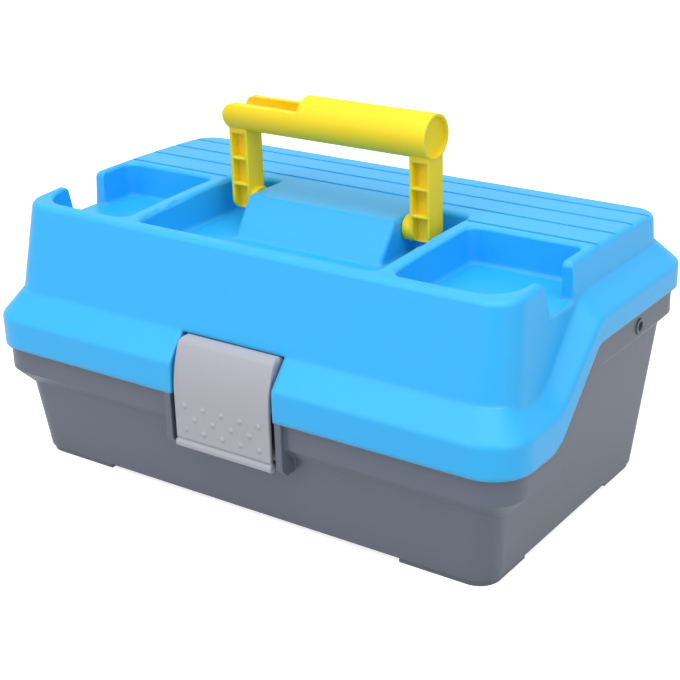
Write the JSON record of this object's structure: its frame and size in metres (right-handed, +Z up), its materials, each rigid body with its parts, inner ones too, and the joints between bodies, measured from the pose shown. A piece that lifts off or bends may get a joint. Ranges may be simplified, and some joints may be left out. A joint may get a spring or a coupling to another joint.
{
  "type": "tackle box",
  "caption": "Plastic tackle box with a stepped parting line, lid-top pockets, folding handle, hinged latch and a cantilever tray that lifts with the lid.",
  "frame": {"origin": "middle of the whole closed box's footprint, on the plane that the four feet stand on", "axes": "+Z up, +X to the right along the length, and -Y towards the front with its latch"},
  "size_m": [0.33, 0.2008, 0.2017],
  "materials": {
    "blue_plastic": "satin",
    "grey_plastic": "satin",
    "yellow_plastic": "satin",
    "light_grey_plastic": "satin",
    "tray_plastic": "satin",
    "arm_plastic": "satin",
    "steel": "brushed"
  },
  "bodies": {
    "base": {"base": "grey_plastic", "hinge_pin_right": "steel", "hinge_pin_left": "steel", "arm_rivet_right": "grey_plastic", "arm_rivet_left": "grey_plastic"},
    "lid": {"lid": "blue_plastic", "latch_pin": "steel", "tray_rear_pin_right": "steel", "tray_rear_pin_left": "steel"},
    "handle": {"handle": "yellow_plastic"},
    "latch": {"latch": "light_grey_plastic"},
    "arm_right": {"tray_arm_right": "arm_plastic", "tray_front_pin_right": "steel"},
    "arm_left": {"tray_arm_left": "arm_plastic", "tray_front_pin_left": "steel"},
    "tray": {"tray": "tray_plastic", "tray_divider_front_left": "tray_plastic", "tray_divider_front_right": "tray_plastic", "tray_divider_middle_left": "tray_plastic", "tray_divider_middle_right": "tray_plastic", "tray_divider_rear_left": "tray_plastic", "tray_divider_rear_right": "tray_plastic"}
  },
  "joints": [
    {"name": "lid_hinge", "type": "hinge", "parent": "base", "child": "lid", "pos_m": [0, 0.09685, 0.1062], "axis": [-1, 0, 0], "range_deg": [0, 100]},
    {"name": "latch_hinge", "type": "hinge", "parent": "lid", "child": "latch", "pos_m": [0, -0.08885, 0.0912], "axis": [-1, 0, 0], "range_deg": [0, 100]},
    {"name": "handle_fold", "type": "hinge", "parent": "lid", "child": "handle", "pos_m": [0, 0.00215, 0.1405], "axis": [1, 0, 0], "range_deg": [0, 88]},
    {"name": "arm_right_swing", "type": "hinge", "parent": "base", "child": "arm_right", "pos_m": [0.15045, 0.03715, 0.097], "axis": [-1, 0, 0], "range_deg": [0, 100]},
    {"name": "arm_left_swing", "type": "hinge", "parent": "base", "child": "arm_left", "pos_m": [-0.15045, 0.03715, 0.097], "axis": [-1, 0, 0], "range_deg": [0, 100]},
    {"name": "tray_level", "type": "hinge", "parent": "arm_right", "child": "tray", "pos_m": [0, -0.01285, 0.105], "axis": [1, 0, 0], "range_deg": [0, 100]}
  ],
  "couplings": [
    {"joint": "arm_right_swing", "follows": "lid_hinge", "ratio": 1},
    {"joint": "arm_left_swing", "follows": "lid_hinge", "ratio": 1},
    {"joint": "tray_level", "follows": "lid_hinge", "ratio": 1}
  ]
}
